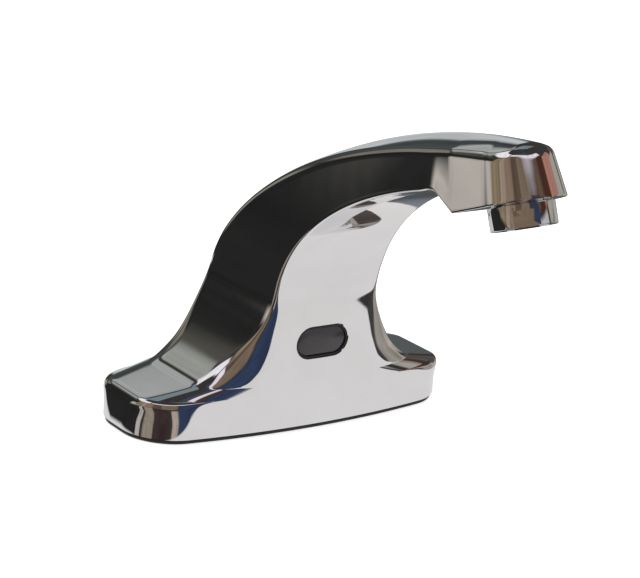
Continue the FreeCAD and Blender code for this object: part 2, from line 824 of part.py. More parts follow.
route = rounded_route(tube_points, size("tube_bend_radius"))
tube_outside = feature("tube_outside", tube(route, tube_points[0], UP, size("tube_radius")))
tube_inside = feature("tube_inside", tube(route, tube_points[0], UP,
                                          size("tube_radius") - size("tube_wall")))
nodes["waterway_tube"] = cut("waterway_tube", tube_outside, [tube_inside])

ring_places = [spigot_start + spigot_run * (size("ring_first") + step * size("ring_spacing"))
               for step in range(2)]
spigot_blank = cylinder("spigot_blank", "Sizes.spigot_radius", "Sizes.spigot_length",
                        spigot_start, spigot_run)
spigot_tools = [
    cylinder("spigot_socket_bore", "Sizes.tube_radius + Sizes.tube_gap", "Sizes.spigot_socket",
             spigot_start, spigot_run),
    cylinder("spigot_water_bore", "Sizes.tube_radius - 2 * Sizes.tube_wall", "Sizes.spigot_length",
             spigot_start, spigot_run)]
rings = []
for index, place in enumerate(ring_places):
    groove_start = place - spigot_run * (size("groove_width") / 2)
    outside = cylinder("groove_outside_%d" % index, "Sizes.spigot_radius + Sizes.spigot_gap",
                       "Sizes.groove_width",
                       groove_start, spigot_run)
    inside = cylinder("groove_floor_%d" % index,
                      "Sizes.spigot_radius + Sizes.spigot_gap - 2 * Sizes.ring_section",
                      "Sizes.groove_width", groove_start, spigot_run)
    spigot_tools.append(cut("groove_%d" % index, outside, [inside]))
    ring_start = place - spigot_run * size("ring_section")
    ring = cylinder("ring_outside_%d" % index, "Sizes.spigot_radius + Sizes.spigot_gap",
                    "2 * Sizes.ring_section", ring_start, spigot_run)
    ring_hole = cylinder("ring_hole_%d" % index,
                         "Sizes.spigot_radius + Sizes.spigot_gap - 2 * Sizes.ring_section",
                         "2 * Sizes.ring_section", ring_start, spigot_run)
    rings.append(cut("spigot_ring_%d" % index, ring, [ring_hole]))
nodes["outlet_spigot"] = cut("outlet_spigot", spigot_blank, spigot_tools)
nodes["spigot_rings"] = doc.addObject("Part::Compound", "spigot_rings")
nodes["spigot_rings"].Links = rings

# ---- aerator: housing, insert, regulator, screen and washer, along the outlet axis ----

COMB_STEPS = 3        # cells from the middle of the straightener to its edge
collar_low = -size("aerator_drop")
housing_top = size("aerator_thread_length")
collar = cylinder("aerator_collar", "Sizes.aerator_radius",
                  "Sizes.aerator_drop - Sizes.aerator_face_gap", outlet_at(collar_low), outlet_up)
thread = cylinder("aerator_thread", "Sizes.outlet_thread_radius - Sizes.aerator_thread_gap",
                  "Sizes.aerator_drop + Sizes.aerator_thread_length", outlet_at(collar_low), outlet_up)
housing_tools = [
    cylinder("housing_bore",
             "Sizes.outlet_thread_radius - Sizes.aerator_thread_gap - Sizes.aerator_wall",
             "Sizes.aerator_drop + Sizes.aerator_thread_length",
             outlet_at(collar_low + size("aerator_lip")), outlet_up),
    cylinder("housing_mouth",
             "Sizes.outlet_thread_radius - Sizes.aerator_wall - Sizes.aerator_lip_width",
             "Sizes.aerator_drop", outlet_at(collar_low), outlet_up)]
turn = FreeCAD.Rotation(UP, size("flat_turn"))
for index, side in enumerate((-1, 1)):
    # two spanner flats on the collar, open at its lower end
    flat = doc.addObject("Part::Box", "aerator_flat_%d" % index)
    flat.setExpression("Length", "Sizes.aerator_radius * 2")
    flat.setExpression("Width", "Sizes.aerator_radius")
    flat.setExpression("Height", "Sizes.flat_height" + PAST)
    start = size("aerator_radius") - size("flat_depth")
    corner = Vector(-size("aerator_radius"), start if side > 0 else -start - size("aerator_radius"), 0)
    frame = outlet_frame.multiply(turn)
    flat.Placement = FreeCAD.Placement(
        outlet_at(collar_low - OVERRUN) + frame.multVec(corner), frame)
    housing_tools.append(flat)
nodes["aerator_housing"] = cut("aerator_housing", fuse("housing_solid", [collar, thread]),
                               housing_tools)

insert_low = collar_low + size("aerator_lip")
insert_radius = ("Sizes.outlet_thread_radius - Sizes.aerator_thread_gap"
                 " - Sizes.aerator_wall - Sizes.insert_gap")
insert_top = housing_top - size("screen_thickness") - size("insert_gap")
insert_blank = cylinder(
    "insert_blank", insert_radius,
    "Sizes.aerator_drop + Sizes.aerator_thread_length - Sizes.aerator_lip"
    " - Sizes.insert_gap - Sizes.screen_thickness", outlet_at(insert_low), outlet_up)
straightener_top = insert_low + size("straightener_height")
insert_tools = [cylinder("insert_cup", insert_radius + " - Sizes.insert_wall",
                         "Sizes.aerator_drop + Sizes.aerator_thread_length",
                         outlet_at(straightener_top), outlet_up)]


def outlet_place(across, along, depth):
    # a point beside the outlet axis, "along" towards the tip
    return outlet_at(depth) + Vector(across, 0, 0) + at(math.cos(tilt), math.sin(tilt)) * along


def honeycomb(name, reach, flats, height, depth):
    # six-sided holes in three directions at 60 degrees, out to "reach" holes from the middle
    pitch = size("comb_flats") + size("comb_web")
    holes = []
    for row in range(-reach, reach + 1):
        for step in range(-reach, reach + 1):
            if abs(row + step) > reach:
                continue
            across = pitch * (step + row / 2)
            along = pitch * row * math.sqrt(3) / 2
            hole = hexagon("%s_%d_%d" % (name, row + reach, step + reach), flats, height,
                           outlet_place(across, along, depth))
            hole.Placement = FreeCAD.Placement(
                hole.Placement.Base, outlet_frame.multiply(FreeCAD.Rotation(UP, 30)))
            holes.append(hole)
    return holes


insert_tools += honeycomb("comb_cell", COMB_STEPS, "Sizes.comb_flats",
                          "Sizes.straightener_height" + PAST_BOTH, insert_low - OVERRUN)
nodes["aerator_insert"] = cut("aerator_insert", insert_blank, insert_tools)

regulator_low = straightener_top
regulator_blank = cylinder("regulator_blank", insert_radius + " - Sizes.insert_wall - Sizes.insert_gap",
                           "Sizes.regulator_height", outlet_at(regulator_low), outlet_up)
nodes["flow_regulator"] = cut("flow_regulator", regulator_blank, [
    cylinder("regulator_bore", "Sizes.regulator_hole", "Sizes.regulator_height" + PAST_BOTH,
             outlet_at(regulator_low - OVERRUN), outlet_up)])

screen_low = insert_top
screen_blank = cylinder("screen_blank", insert_radius, "Sizes.screen_thickness",
                        outlet_at(screen_low), outlet_up)
nodes["aerator_screen"] = cut("aerator_screen", screen_blank, honeycomb(
    "screen_cell", COMB_STEPS, "Sizes.screen_flats", "Sizes.screen_thickness" + PAST_BOTH,
    screen_low - OVERRUN))

washer_low = housing_top + size("washer_gap")
washer_blank = cylinder("washer_blank", "Sizes.outlet_thread_radius - 3 * Sizes.insert_gap",
                        "Sizes.outlet_thread_depth - Sizes.aerator_thread_length"
                        " - 2 * Sizes.washer_gap", outlet_at(washer_low), outlet_up)
nodes["aerator_washer"] = cut("aerator_washer", washer_blank, [
    cylinder("washer_bore", "Sizes.outlet_thread_radius - Sizes.washer_width - 3 * Sizes.insert_gap",
             "Sizes.outlet_thread_depth", outlet_at(washer_low - OVERRUN), outlet_up)])

# ---- sensor window: seal and lens in the opening, module behind the wall ----

seal_length = size("window_length") - 2 * size("seal_gap")
seal_width = size("window_width") - 2 * size("seal_gap")
seal_front = face_ahead - size("seal_recess")
seal_blank = oblong("seal_blank", seal_length, seal_width, seal_front - module_front,
                    at(seal_front, window_height))
lens_shrink = 2 * size("seal_thickness")
seal_hole = oblong("seal_hole", seal_length - lens_shrink, seal_width - lens_shrink,
                   size("wall") + size("module_gap") + 2 * OVERRUN,
                   at(seal_front + OVERRUN, window_height))
nodes["sensor_seal"] = cut("sensor_seal", seal_blank, [seal_hole])
lens_length = seal_length - lens_shrink - 2 * size("lens_gap")
lens_width = seal_width - lens_shrink - 2 * size("lens_gap")
nodes["sensor_lens"] = oblong("sensor_lens", lens_length, lens_width, size("lens_thickness"),
                              at(face_ahead - size("lens_recess"), window_height))

module_corner = at(module_front, window_height - size("module_height") / 2,
                   -size("module_length") / 2)
module_blank = box("module_blank", "Sizes.module_length", "Sizes.module_depth",
                   "Sizes.module_height", module_corner)
inner_corner = module_corner + Vector(size("module_wall"), size("module_wall"), size("module_wall"))
nodes["sensor_housing"] = cut("sensor_housing", module_blank, [
    box("module_inside", "Sizes.module_length - 2 * Sizes.module_wall", "Sizes.module_depth",
        "Sizes.module_height - 2 * Sizes.module_wall", inner_corner),
    oblong("module_window", lens_length + 2 * size("lens_gap"), lens_width + 2 * size("lens_gap"),
           size("module_wall") + 2 * OVERRUN, at(module_front + OVERRUN, window_height))])
cover_corner = Vector(module_corner.x, -module_back, module_corner.z)
cover_blank = box("cover_blank", "Sizes.module_length", "Sizes.cover_thickness",
                  "Sizes.module_height", cover_corner)
nodes["sensor_cover"] = cut("sensor_cover", cover_blank, [
    cylinder("cover_cable_hole", "Sizes.grommet_bore_radius", "Sizes.cover_thickness" + PAST_BOTH,
             at(cover_back - OVERRUN, window_height - size("module_height") / 4,
                size("module_length") / 3), FORWARD)])

board_back = module_back
board_inset = size("module_wall") + size("board_gap")
nodes["sensor_board"] = box(
    "sensor_board", "Sizes.module_length - 2 * Sizes.module_wall - 2 * Sizes.board_gap",
    "Sizes.board_thickness", "Sizes.module_height - 2 * Sizes.module_wall - 2 * Sizes.board_gap",
    Vector(module_corner.x + board_inset, -board_back - size("board_thickness"),
           module_corner.z + board_inset))
board_front = board_back + size("board_thickness")


def diode(name, across):
    can = cylinder(name + "_can", "Sizes.diode_radius", "Sizes.diode_length",
                   at(board_front, window_height, across), FORWARD)
    nose = doc.addObject("Part::Cone", name + "_nose")
    nose.setExpression("Radius1", "Sizes.diode_radius")
    nose.setExpression("Radius2", "Sizes.diode_radius / 2")
    nose.setExpression("Height", "Sizes.diode_radius / 2")
    nose.Placement = FreeCAD.Placement(
        at(board_front + size("diode_length"), window_height, across), facing(FORWARD))
    return fuse(name, [can, nose])


nodes["ir_emitter"] = diode("ir_emitter", size("diode_spacing") / 2)
nodes["ir_receiver"] = diode("ir_receiver", -size("diode_spacing") / 2)
lens_back = face_ahead - size("lens_recess") - size("lens_thickness")
nodes["light_baffle"] = box(
    "light_baffle", "Sizes.baffle_thickness",
    "Sizes.wall + Sizes.module_gap + Sizes.module_depth - Sizes.lens_recess"
    " - Sizes.lens_thickness - Sizes.baffle_gap - Sizes.board_thickness",
    "Sizes.module_height - 4 * Sizes.module_wall",
    at(lens_back - size("baffle_gap"), module_corner.z + 2 * size("module_wall"),
       -size("baffle_thickness") / 2))

clip_back = cover_back - size("clip_thickness")
clip_blank = box("clip_blank", "Sizes.clip_length", "Sizes.clip_thickness", "Sizes.clip_width",
                 Vector(-size("clip_length") / 2, -cover_back,
                        window_height - size("clip_width") / 2))
clip_tools = []
clip_screws = []
for index, side in enumerate((-1, 1)):
    spot = at(clip_back, window_height, side * clip_post_x)
    clip_tools.append(cylinder("clip_pass_%d" % index, "Sizes.clip_screw_radius + 2 * Sizes.screw_gap",
                               "Sizes.clip_thickness" + PAST_BOTH, spot - FORWARD * OVERRUN, FORWARD))
    head = cylinder("clip_screw_head_%d" % index, "Sizes.clip_screw_head",
                    "Sizes.clip_screw_head_height",
                    spot - FORWARD * size("clip_screw_head_height"), FORWARD)
    shank = cylinder("clip_screw_shank_%d" % index, "Sizes.clip_screw_radius",
                     "Sizes.clip_screw_length", spot, FORWARD)
    clip_screws.append(fuse("clip_screw_%d" % index, [head, shank]))
nodes["sensor_clip"] = cut("sensor_clip", clip_blank, clip_tools)
nodes["sensor_clip_screws"] = doc.addObject("Part::Compound", "sensor_clip_screws")
nodes["sensor_clip_screws"].Links = clip_screws

# ---- cable exit ----

grommet_spot = Vector(size("grommet_x"), size("grommet_y"), 0)
grommet_solid = fuse("grommet_solid", [
    cylinder("grommet_body", "Sizes.grommet_hole_radius - Sizes.grommet_gap",
             "Sizes.plate_thickness + Sizes.gasket_thickness / 2",
             grommet_spot + UP * (deck_top / 2)),
    cylinder("grommet_flange", "Sizes.grommet_flange_radius", "Sizes.grommet_flange_height",
             grommet_spot + UP * plate_top)])
nodes["cable_grommet"] = cut("cable_grommet", grommet_solid, [
    cylinder("grommet_bore", "Sizes.grommet_bore_radius",
             "Sizes.plate_thickness + Sizes.gasket_thickness + Sizes.grommet_flange_height" + PAST_BOTH,
             grommet_spot)])

# ---- build, check and write every piece ----

doc.recompute()
for item in doc.Objects:
    if "Invalid" in item.State or "Error" in item.State:
        raise RuntimeError("%s failed: %s" % (item.Name, item.State))

os.makedirs("parts", exist_ok=True)
for name, item in nodes.items():
    item.Label = name
    shape = item.Shape
    if shape.isNull() or not shape.isValid() or not shape.Solids:
        raise RuntimeError("%s has no valid solid" % name)
    shape.exportStep("parts/%s.step" % name)
    print("%-20s solids %d  volume %9.1f" % (name, len(shape.Solids), shape.Volume))
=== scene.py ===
import json
import math

import bmesh
import bpy
import numpy as np
from mathutils import Matrix, Vector


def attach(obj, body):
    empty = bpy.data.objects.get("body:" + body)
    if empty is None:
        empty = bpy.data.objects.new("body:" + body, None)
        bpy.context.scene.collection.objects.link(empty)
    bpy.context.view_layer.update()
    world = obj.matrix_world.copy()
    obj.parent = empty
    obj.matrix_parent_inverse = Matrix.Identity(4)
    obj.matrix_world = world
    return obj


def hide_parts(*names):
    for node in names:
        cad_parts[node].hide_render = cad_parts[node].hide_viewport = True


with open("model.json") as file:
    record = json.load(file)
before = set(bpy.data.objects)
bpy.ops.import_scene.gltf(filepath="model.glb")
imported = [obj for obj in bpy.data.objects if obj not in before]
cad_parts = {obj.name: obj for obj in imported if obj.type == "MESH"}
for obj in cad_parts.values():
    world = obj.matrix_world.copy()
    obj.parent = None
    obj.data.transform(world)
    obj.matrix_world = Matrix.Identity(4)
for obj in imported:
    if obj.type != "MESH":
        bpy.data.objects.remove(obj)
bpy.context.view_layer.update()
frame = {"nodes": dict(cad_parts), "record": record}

# Lengths are in millimetres until a mesh is written, then metres.
# X runs along the base, the spout points to -Y ("ahead" is minus Y), +Z is up.
mm = 0.001


def smooth(value, low, high):
    # 0 below low, 1 above high, 3t^2 - 2t^3 between
    t = np.clip((value - low) / (high - low), 0, 1)
    return t * t * (3 - 2 * t)


def softLeast(first, second):
    # (a^-4 + b^-4)^(-1/4): the smaller of two lengths, eased where they are equal
    return (first ** -4.0 + second ** -4.0) ** -0.25


def bezier(poles, t):
    # Bezier of any degree, Bernstein form, one row of coordinates per value of t
    poles = np.asarray(poles, float)
    degree = len(poles) - 1
    t = np.asarray(t, float)[:, None]
    return sum(math.comb(degree, k) * (1 - t) ** (degree - k) * t ** k * poles[k]
               for k in range(degree + 1))


def steps(count):
    # count values from just above 0 to 1
    return np.linspace(0, 1, count + 1)[1:]


def meshFrom(name, points, faces, smoothBelow=38.0):
    # points in millimetres, faces as an (n, k) array or a list of tuples
    mesh = bpy.data.meshes.new(name)
    mesh.from_pydata((np.asarray(points) * mm).tolist(), [], [tuple(map(int, f)) for f in faces])
    mesh.validate()
    mesh.shade_smooth()
    mesh.set_sharp_from_angle(angle=math.radians(smoothBelow))
    piece = bpy.data.objects.new(name, mesh)
    bpy.context.scene.collection.objects.link(piece)
    return piece


def strip(rows, columns):
    # quads between closed rings of equal length
    row, column = np.meshgrid(np.arange(rows - 1), np.arange(columns), indexing="ij")
    nextColumn = (column + 1) % columns
    a, b = row * columns + column, row * columns + nextColumn
    return np.stack([a, b, b + columns, a + columns], -1).reshape(-1, 4).tolist()


def ends(rows, columns):
    # the two flat faces that close a stack of rings
    return [list(range(columns))[::-1], list(range((rows - 1) * columns, rows * columns))]


def rejoin(rows, columns):
    # quads from the last ring back to the first, for a frame or a collar
    last = (rows - 1) * columns
    return [[last + k, last + (k + 1) % columns, (k + 1) % columns, k] for k in range(columns)]


def fixNormals(piece):
    work = bmesh.new()
    work.from_mesh(piece.data)
    bmesh.ops.recalc_face_normals(work, faces=work.faces)
    work.to_mesh(piece.data)
    work.free()


def sharpen(piece, above):
    # smooth shading, with edges steeper than this many degrees left sharp
    piece.data.shade_smooth()
    piece.data.set_sharp_from_angle(angle=math.radians(above))


def subtract(piece, tools):
    for tool in tools:
        fixNormals(tool)
        modifier = piece.modifiers.new("cut", "BOOLEAN")
        modifier.operation = "DIFFERENCE"
        modifier.solver = "EXACT"
        modifier.object = tool
        layer = bpy.context.view_layer
        layer.update()
        result = bpy.data.meshes.new_from_object(piece.evaluated_get(layer.depsgraph))
        piece.modifiers.clear()
        piece.data = result
        bpy.data.objects.remove(tool)


# The casting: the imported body's sections sampled finely, with a slower turn at the neck's
# front corners, an eased flare and a rounded top rim on the nose.
cast = dict(
    length=156.0, front=27.0, back=27.3, bow=8.1, planRadius=18.6,
    draft=3.0, edgeHeight=17.2, wingSlope=13.2, edgeRadius=5.0,
    flareStart=56.0, flarePull=10.4, neckEase=3.1, neckPull=14.4, neckWidth=52.0, neckHeight=66.0,
    outletAhead=137.8, height=121.5, tilt=22.8,
    kneeAhead=28.1, kneeHeight=55.0, kneePull=32.2, armPull=46.1,
    armEndBack=20.4, armEndRise=2.8, armSlope=17.4, crestRun=10.0, crestRise=1.9, crestPull=3.5,
    cornerBack=14.8, headWidth=39.6, noseRadius=17.2, noseTop=14.2, noseEdge=5.0,
    backKnee=27.1, backKneeHeight=44.8, backPull=56.4, topPull=94.0,
    topAhead=19.2, headRise=30.4, topSlope=1.4,
    neckCrown=0.5, armCrown=5.6, ridge=9.0, edge=1.5, backRidge=13.0, neckBack=5.5, armTop=2.2,
    neckFade=20.0, spread=8.0, spreadLow=38.0, spreadHigh=64.0,
    roundLow=8.0, roundHigh=24.0, cornerShare=0.55, leastSlope=0.05, noseTurn=89.3,
    gasket=2.0, wall=3.2, plate=4.0, plateGap=0.05)
half = cast["length"] / 2
neck = cast["neckWidth"] / 2
tilt = math.radians(cast["tilt"])
corner = np.array([cast["outletAhead"] - cast["cornerBack"], cast["height"]])
armEnd = corner + [-cast["armEndBack"], cast["armEndRise"]]
armSlope = math.radians(cast["armSlope"])
topSlope = math.radians(cast["topSlope"])
topEnd = np.array([cast["outletAhead"] + cast["topAhead"], cast["height"] + cast["headRise"]])
lean = (cast["kneeAhead"] - cast["front"]) / cast["kneeHeight"]
outletAlong = cast["cornerBack"] / math.cos(tilt)

fine = np.linspace(0, 1, 4001)
frontCurve = bezier([
    (cast["kneeAhead"], cast["kneeHeight"]),
    (cast["kneeAhead"] + cast["kneePull"] * lean, cast["kneeHeight"] + cast["kneePull"]),
    armEnd - cast["armPull"] * np.array([math.cos(armSlope), math.sin(armSlope)]),
    armEnd], fine)
backCurve = bezier([
    (-cast["backKnee"], cast["backKneeHeight"]),
    (-cast["backKnee"], cast["backKneeHeight"] + cast["backPull"]),
    topEnd - cast["topPull"] * np.array([math.cos(topSlope), math.sin(topSlope)]),
    topEnd], fine)


def frontAt(height):
    curved = np.interp(height, frontCurve[:, 1], frontCurve[:, 0])
    return np.where(height < cast["kneeHeight"], cast["front"] + lean * height, curved)


def backAt(height):
    curved = np.interp(height, backCurve[:, 1], backCurve[:, 0])
    slant = (cast["back"] - cast["backKnee"]) / cast["backKneeHeight"]
    return np.where(height < cast["backKneeHeight"], slant * height - cast["back"], curved)


def headFloor(along):
    return corner + np.outer(along, [math.cos(tilt), math.sin(tilt)])


def onBack(place):
    return np.stack([np.interp(place, fine, backCurve[:, 0]),
                     np.interp(place, fine, backCurve[:, 1])], -1)


def over(point, slope):
    # place on the back curve straight across from a point of the underside
    off = (backCurve - point) @ np.array([math.cos(slope), math.sin(slope)])
    upper = fine > backStart
    index = np.argmax((off > 0) & upper)
    share = -off[index - 1] / (off[index] - off[index - 1])
    return fine[index - 1] + share * (fine[index] - fine[index - 1])


def frontView(wallSteps=9, edgeSteps=14, wingSteps=26, flareSteps=56):
    # right half of the outline seen from the front: half width, height, slope
    slant = math.tan(math.radians(cast["draft"]))
    wallSlope = math.pi / 2 - math.radians(cast["draft"])
    wing = math.radians(cast["wingSlope"])
    edge = np.array([half - slant * cast["edgeHeight"], cast["edgeHeight"]])
    radius = cast["edgeRadius"]
    reach = radius * math.tan((wallSlope - wing) / 2)
    low = edge + reach * np.array([math.cos(wallSlope), -math.sin(wallSlope)])
    high = edge + reach * np.array([-math.cos(wing), math.sin(wing)])
    centre = low - radius * np.array([math.sin(wallSlope), math.cos(wallSlope)])
    heights = cast["gasket"] + (low[1] - cast["gasket"]) * np.linspace(0, 1, wallSteps)
    wallPart = np.stack([half - slant * heights, heights, np.full(wallSteps, wallSlope)], -1)
    turn = wallSlope + (wing - wallSlope) * steps(edgeSteps)
    edgePart = np.stack([centre[0] + radius * np.sin(turn),
                         centre[1] + radius * np.cos(turn), turn], -1)
    flare = np.array([cast["flareStart"],
                      edge[1] + (edge[0] - cast["flareStart"]) * math.tan(wing)])
    share = steps(wingSteps)[:, None]
    wingPart = np.hstack([high + (flare - high) * share, np.full((wingSteps, 1), wing)])
    sweep = bezier([flare,
                    flare + cast["flarePull"] * np.array([-math.cos(wing), math.sin(wing)]),
                    (neck, cast["neckHeight"] - cast["neckPull"] - cast["neckEase"]),
                    (neck, cast["neckHeight"] - cast["neckPull"]),
                    (neck, cast["neckHeight"])], steps(flareSteps))
    run = np.gradient(sweep, axis=0)
    sweepPart = np.column_stack([sweep, np.arctan2(run[:, 1], -run[:, 0])])
    return np.vstack([wallPart, edgePart, wingPart, sweepPart])


def baseStations():
    width, height, slope = frontView().T
    wings = smooth(width, neck, neck + cast["neckFade"])
    front = cast["edge"] + (cast["ridge"] - cast["edge"]) * wings
    back = cast["neckBack"] + (cast["backRidge"] - cast["neckBack"]) * wings
    steep = np.maximum(np.sin(slope), cast["leastSlope"])
    limit = cast["cornerShare"] * width
    # the neck's front corners turn slowly across the front face and quickly down the side
    spread = cast["spread"] * (1 - smooth(height, cast["spreadLow"], cast["spreadHigh"]))
    plan = cast["planRadius"]
    frontShare = smooth(height, cast["roundLow"], cast["roundHigh"])
    backShare = smooth(height, 0.0, cast["roundHigh"])
    return np.stack([
        frontAt(height), height, backAt(height), height, width, width,
        cast["bow"] * (width / half) ** 2, cast["neckCrown"] * (1 - wings),
        plan + (softLeast(front / steep + spread, limit) - plan) * frontShare,
        plan + (front - plan) * frontShare,
        plan + (softLeast(back / steep, limit) - plan) * backShare,
        plan + (back - plan) * backShare], -1)


frontStart = np.interp(cast["neckHeight"], frontCurve[:, 1], fine)
backStart = np.interp(cast["neckHeight"], backCurve[:, 1], fine)
crestEnd = armEnd + [cast["crestRun"], cast["crestRise"]]
backArm = over(armEnd, armSlope)
backCrest = over(crestEnd, (armSlope + tilt) / 2)
backCorner = over(corner, tilt)
backOutlet = over(headFloor([outletAlong])[0], tilt)


def armStations(points, back, bowShare, frontRadius):
    head = cast["headWidth"] / 2
    width = np.where(back < backCorner,
                     neck + (head - neck) * smooth(back, backStart, backCorner),
                     head + (cast["noseRadius"] - head)
                     * (back - backCorner) / (backOutlet - backCorner))
    narrow = 1 - (1 - cast["noseTop"] / cast["noseRadius"]) * smooth(back, backStart, backCorner)
    grown = smooth(back, backStart, backArm)
    late = smooth(back, backStart + (backArm - backStart) / 3, backArm)
    crown = cast["neckCrown"] + (cast["armCrown"] - cast["neckCrown"]) * grown
    top = cast["neckBack"] + (cast["armTop"] - cast["neckBack"]) * late
    bow = cast["bow"] * (width / half) ** 2 * bowShare
    spot = onBack(back)
    radius = np.broadcast_to(frontRadius, width.shape)
    return np.stack([points[:, 0], points[:, 1], spot[:, 0], spot[:, 1], width, width * narrow,
                     bow, crown, radius, radius, top, top], -1)


def trunkStations(armSteps=96, crestSteps=22, bevelSteps=6):
    share = steps(armSteps)
    place = frontStart + (1 - frontStart) * share
    points = np.stack([np.interp(place, fine, frontCurve[:, k]) for k in (0, 1)], -1)
    arm = armStations(points, backStart + (backArm - backStart) * share, 1 - share, cast["edge"])
    # the underside crests, then runs straight down to the sharp rear corner of the head
    drop = math.atan2(corner[1] - crestEnd[1], corner[0] - crestEnd[0])
    pull = cast["crestPull"]
    share = steps(crestSteps)
    crest = bezier([armEnd,
                    armEnd + pull * np.array([math.cos(armSlope), math.sin(armSlope)]),
                    crestEnd - pull * np.array([math.cos(drop), math.sin(drop)]),
                    crestEnd], share)
    crestPart = armStations(crest, backArm + (backCrest - backArm) * share, 0.0, cast["edge"])
    share = steps(bevelSteps)
    bevel = crestEnd + (corner - crestEnd) * share[:, None]
    bevelPart = armStations(bevel, backCrest + (backCorner - backCrest) * share, 0.0,
                            cast["edge"] * (1 - share / 2))
    return np.vstack([baseStations(), arm, crestPart, bevelPart])


def headStations(floorSteps=9, noseSteps=44):
    share = steps(floorSteps)
    straight = armStations(headFloor(outletAlong * share),
                           backCorner + (backOutlet - backCorner) * share, 0.0, cast["edge"] / 2)
    # round nose: half width R cos(turn) at R sin(turn) ahead of the outlet's axis
    turn = math.radians(cast["noseTurn"]) * np.sin(steps(noseSteps) * math.pi / 2)
    across, ahead = np.cos(turn), np.sin(turn)
    low, high, rim = cast["noseRadius"], cast["noseTop"], cast["noseEdge"]
    floor = headFloor(outletAlong + low * ahead)
    upper = headFloor(outletAlong + high * ahead)
    spot = onBack(np.array([over(point, tilt) for point in upper]))
    left = high * (1 - ahead)
    cut = rim - np.sqrt(rim ** 2 - np.maximum(rim - left, 0) ** 2)
    down = floor - spot
    spot = spot + down / np.linalg.norm(down, axis=1)[:, None] * cut[:, None]
    edge = np.full(noseSteps, cast["edge"] / 2)
    nose = np.stack([floor[:, 0], floor[:, 1], spot[:, 0], spot[:, 1], low * across, high * across,
                     np.zeros(noseSteps), cast["armCrown"] * across ** 2,
                     np.minimum(edge, low * across / 2), edge,
                     np.minimum(cast["armTop"], high * across / 2),
                     np.full(noseSteps, cast["armTop"])], -1)
    return np.vstack([straight, nose])


arcPull = 0.5523    # pull of a cubic that follows a quarter circle


def rings(stations, frontSteps=26, cornerSteps=12, sideSteps=18, backSteps=34):
    # one closed ring of points per station: bowed front, corners, flat sides, crowned back
    (ahead, height, back, backHeight, width, backWidth, bow, crown,
     frontX, frontY, backX, backY) = [column[:, None] for column in stations.T]
    deep = np.hypot(back - ahead, backHeight - height)
    runAhead, runUp = (back - ahead) / deep, (backHeight - height) / deep

    def quarter(start, mid, end):
        # cubic quarter round from start to end that leaves towards mid
        t = np.linspace(0, 1, cornerSteps, endpoint=False)
        poles = [start, [s + arcPull * (m - s) for s, m in zip(start, mid)],
                 [e + arcPull * (m - e) for e, m in zip(end, mid)], end]
        weights = [(1 - t) ** 3, 3 * (1 - t) ** 2 * t, 3 * (1 - t) * t ** 2, t ** 3]
        return [sum(w * pole[axis] for w, pole in zip(weights, poles)) for axis in (0, 1)]

    near = width - frontX
    across = np.linspace(0, 1, frontSteps, endpoint=False) * near
    front = [across, bow * (across / width) ** 2]
    rise = 2 * bow * near / width ** 2
    frontEnd = [near, bow * (near / width) ** 2]
    frontCorner = [width, frontEnd[1] + rise * frontX]
    far = backWidth - backX
    fall = 2 * crown * far / backWidth ** 2
    backEnd = [far, deep - crown * (far / backWidth) ** 2]
    backCornerPoint = [backWidth, backEnd[1] - fall * backX]
    side = [b - f for f, b in zip(frontCorner, backCornerPoint)]
    length = np.hypot(*side)
    sideLow = [f + s / length * frontY for f, s in zip(frontCorner, side)]
    sideHigh = [b - s / length * backY for b, s in zip(backCornerPoint, side)]
    t = np.linspace(0, 1, sideSteps, endpoint=False)
    flat = [low + (high - low) * t for low, high in zip(sideLow, sideHigh)]
    across = np.linspace(1, 0, backSteps) * far
    rear = [across, deep - crown * (across / backWidth) ** 2]
    parts = [front, quarter(frontEnd, frontCorner, sideLow), flat,
             quarter(sideHigh, backCornerPoint, backEnd), rear]
    x = np.hstack([part[0] for part in parts])
    v = np.hstack([part[1] for part in parts])
    x = np.hstack([x, -x[:, -2:0:-1]])
    v = np.hstack([v, v[:, -2:0:-1]])
    return np.stack([x, -(ahead + v * runAhead), height + v * runUp], -1)


def shrink(station, inset):
    # a wall section moved inwards by inset
    station = station.copy()
    station[0] -= inset
    station[2] += inset
    station[4:6] -= inset
    station[8:] = np.maximum(station[8:] - inset, inset / 2)
    return station


# Places shared by the casting, the window and the aerator.
outletAxis = np.array([0.0, -math.sin(tilt), -math.cos(tilt)])
outletPoint = np.array([0.0, -cast["outletAhead"], headFloor([outletAlong])[0][1]])
window = dict(height=38.3, length=25.8, width=13.4, chamfer=0.5, depth=9.0,
              cutAhead=2.0, cutFlare=3.0, cutFace=0.05, sealDepth=4.1, sealSoft=0.25,
              lensSoft=0.35, ease=0.3,
              sealThickness=0.8, sealGap=0.1, sealRecess=0.6, lensGap=0.1, lensRecess=1.1,
              lensThickness=4.2)
faceAhead = float(frontAt(np.array(window["height"])))
outlet = dict(thread=11.6, threadDepth=9.0, chamber=9.0, chamberDepth=19.0, chamfer=0.7,
              cutAhead=3.0)
studs = dict(spacing=101.6, radius=3.3, depth=12.0, chamfer=0.5, cutLow=4.0)


def slot(length, width, count=24):
    # upright slot outline about its centre: x, z
    reach = (length - width) / 2
    turn = np.linspace(-math.pi / 2, math.pi / 2, count)
    right = np.stack([reach + width / 2 * np.cos(turn), width / 2 * np.sin(turn)], -1)
    return np.vstack([right, -right])


def slotSolid(name, sections, hollow=False):
    # closed solid through slot outlines: each section is (ahead, length, width);
    # a hollow one is a frame whose last outline joins the first
    outlines = []
    for ahead, length, width in sections:
        outline = slot(length, width)
        outlines.append(np.column_stack([outline[:, 0], np.full(len(outline), -ahead),
                                         window["height"] + outline[:, 1]]))
    count = len(outlines[0])
    faces = strip(len(outlines), count)
    faces += (rejoin if hollow else ends)(len(outlines), count)
    piece = meshFrom(name, np.vstack(outlines), faces)
    fixNormals(piece)
    return piece


